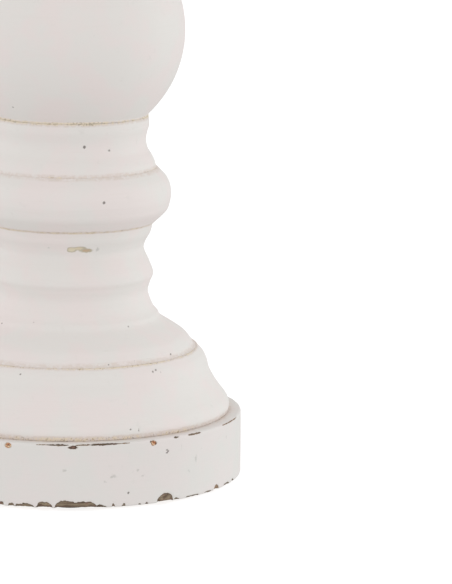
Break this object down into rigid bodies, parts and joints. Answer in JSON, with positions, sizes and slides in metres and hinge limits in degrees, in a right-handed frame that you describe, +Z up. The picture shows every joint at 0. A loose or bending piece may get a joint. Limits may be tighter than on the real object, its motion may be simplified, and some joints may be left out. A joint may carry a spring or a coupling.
{
  "type": "wooden candlestick",
  "caption": "Turned wooden pillar candlestick with a round plinth, bell foot, ball stem, wide candle plate, loose metal drip pan and candle spike.",
  "frame": {"origin": "on the standing surface under the felt pads, on the turned axis", "axes": "+Z up along the turned axis, -Y towards the front; the wood is round, so X and Y are interchangeable"},
  "size_m": [0.13, 0.13, 0.3015],
  "materials": {
    "painted_wood": "matt chalk paint, worn through to brown wood at the edges",
    "dark_iron": "blackened, satin",
    "zinc_steel": "zinc plated",
    "felt": "pressed felt"
  },
  "bodies": {
    "stick": {"plinth": "painted_wood", "foot_moulding": "painted_wood", "bell_section": "painted_wood", "bead_section": "painted_wood", "ball_section": "painted_wood", "collar_section": "painted_wood", "candle_plate": "painted_wood", "tie_rod": "zinc_steel", "base_washer": "zinc_steel", "spring_washer": "zinc_steel", "base_nut": "zinc_steel", "top_washer": "zinc_steel", "pricket": "dark_iron", "felt_pads": "felt"},
    "pan": {"drip_pan": "dark_iron"}
  },
  "joints": [
    {"name": "drip_pan_lift", "type": "slide", "parent": "stick", "child": "pan", "axis": [0, 0, 1], "range_m": [0, 0.045]}
  ]
}
